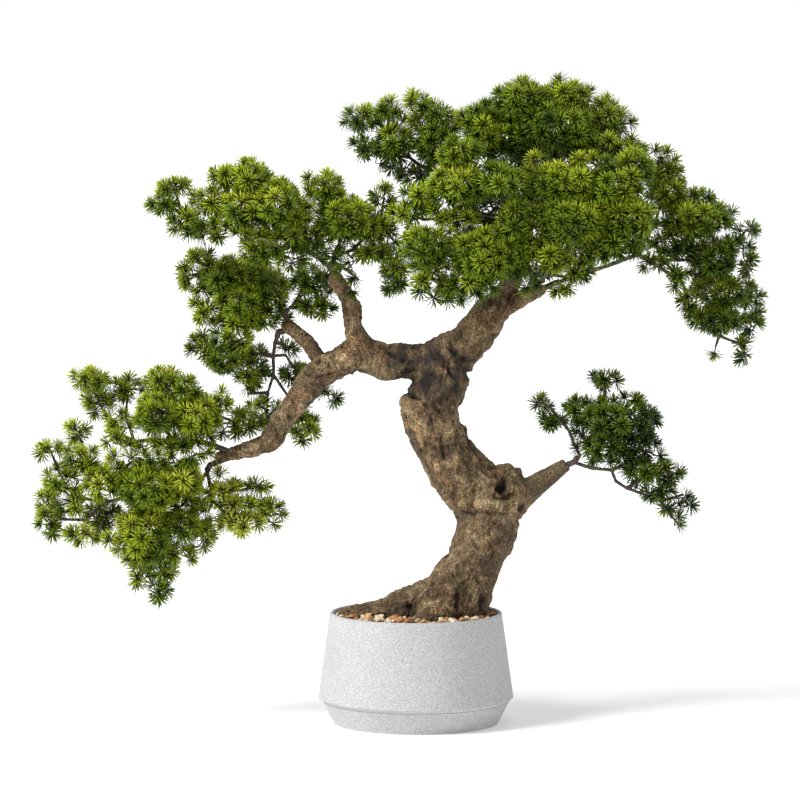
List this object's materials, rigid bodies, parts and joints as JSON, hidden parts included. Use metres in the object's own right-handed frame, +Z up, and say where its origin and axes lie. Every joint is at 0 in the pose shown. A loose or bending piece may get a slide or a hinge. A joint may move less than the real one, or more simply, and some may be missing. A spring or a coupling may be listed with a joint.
{
  "type": "artificial tabletop tree",
  "caption": "Artificial bonsai pine with a bent moulded trunk and wire-cored needle sprays, set in a round grey planter that stands in a matching saucer.",
  "frame": {"origin": "centre of the flat underside of the saucer, where the object stands", "axes": "+X to the side of the crown's drooping spray and the small low branch, +Y to the back, +Z up"},
  "size_m": [0.725, 0.2308, 0.6446],
  "materials": {
    "shell": "fine sandy matt glaze",
    "rubber": "plain rubber",
    "cement": "rough cast cement",
    "foam": "rigid flower foam",
    "soil": "dark glued soil",
    "pale_stones": "smooth pebble",
    "tan_stones": "smooth pebble",
    "rust_stones": "smooth pebble",
    "steel": "drawn wire",
    "bark": "moulded and painted bark",
    "branch": "smooth moulded bark",
    "stem": "dark brown plastic sleeve on wire",
    "needles": "soft moulded needles"
  },
  "bodies": {
    "saucer": {"saucer": "shell"},
    "planter": {"planter_pot": "shell", "drain_plug": "rubber", "cement_ballast": "cement", "foam_block": "foam", "soil_layer": "soil", "pale_stones": "pale_stones", "tan_stones": "tan_stones", "rust_stones": "rust_stones", "core_rod": "steel", "limb_wire": "steel", "leader_wire": "steel", "lower_trunk": "bark", "leader": "bark", "left_limb": "bark", "upright_branch": "bark", "back_branch": "bark", "low_right_branch": "branch", "stem_pegs": "stem", "crown_top_stem": "stem", "crown_top_needles": "needles", "crown_back_stem": "stem", "crown_back_needles": "needles", "crown_front_left_stem": "stem", "crown_front_left_needles": "needles", "crown_front_right_stem": "stem", "crown_front_right_needles": "needles"},
    "crown_left_spray": {"crown_left_stem": "stem", "crown_left_needles": "needles"},
    "crown_right_spray": {"crown_right_stem": "stem", "crown_right_needles": "needles"},
    "upper_left_spray": {"upper_left_stem": "stem", "upper_left_needles": "needles", "upper_middle_stem": "stem", "upper_middle_needles": "needles"},
    "mid_left_spray": {"mid_left_stem": "stem", "mid_left_needles": "needles"},
    "hanging_left_spray": {"hanging_left_stem": "stem", "hanging_left_needles": "needles"},
    "low_left_upper_spray": {"low_left_upper_stem": "stem", "low_left_upper_needles": "needles"},
    "low_left_lower_spray": {"low_left_lower_stem": "stem", "low_left_lower_needles": "needles", "low_left_inner_stem": "stem", "low_left_inner_needles": "needles"},
    "low_right_spray": {"low_right_stem": "stem", "low_right_needles": "needles"}
  },
  "joints": [
    {"name": "planter_lift", "type": "slide", "parent": "saucer", "child": "planter", "axis": [0, 0, 1], "range_m": [0, 0.04]},
    {"name": "crown_left_bend", "type": "hinge", "parent": "planter", "child": "crown_left_spray", "pos_m": [0.07, 0.016, 0.538], "axis": [0, 1, 0], "range_deg": [-6, 4]},
    {"name": "crown_right_bend", "type": "hinge", "parent": "planter", "child": "crown_right_spray", "pos_m": [0.137, -0.003, 0.441], "axis": [0, 1, 0], "range_deg": [-2, 10]},
    {"name": "upper_left_bend", "type": "hinge", "parent": "planter", "child": "upper_left_spray", "pos_m": [-0.085, -0.007, 0.456], "axis": [0, 1, 0], "range_deg": [-3, 6]},
    {"name": "mid_left_bend", "type": "hinge", "parent": "planter", "child": "mid_left_spray", "pos_m": [-0.133, 0.027, 0.409], "axis": [1, 0, 0], "range_deg": [-10, 4]},
    {"name": "hanging_left_bend", "type": "hinge", "parent": "planter", "child": "hanging_left_spray", "pos_m": [-0.138, 0.028, 0.391], "axis": [1, 0, 0], "range_deg": [0, 14]},
    {"name": "low_left_upper_bend", "type": "hinge", "parent": "planter", "child": "low_left_upper_spray", "pos_m": [-0.204, -0.009, 0.28], "axis": [0, 1, 0], "range_deg": [-2, 10]},
    {"name": "low_left_lower_bend", "type": "hinge", "parent": "planter", "child": "low_left_lower_spray", "pos_m": [-0.206, -0.008, 0.26], "axis": [0, 1, 0], "range_deg": [-12, 2]},
    {"name": "low_right_bend", "type": "hinge", "parent": "planter", "child": "low_right_spray", "pos_m": [0.158, 0, 0.262], "axis": [0, 1, 0], "range_deg": [-12, 15]}
  ]
}
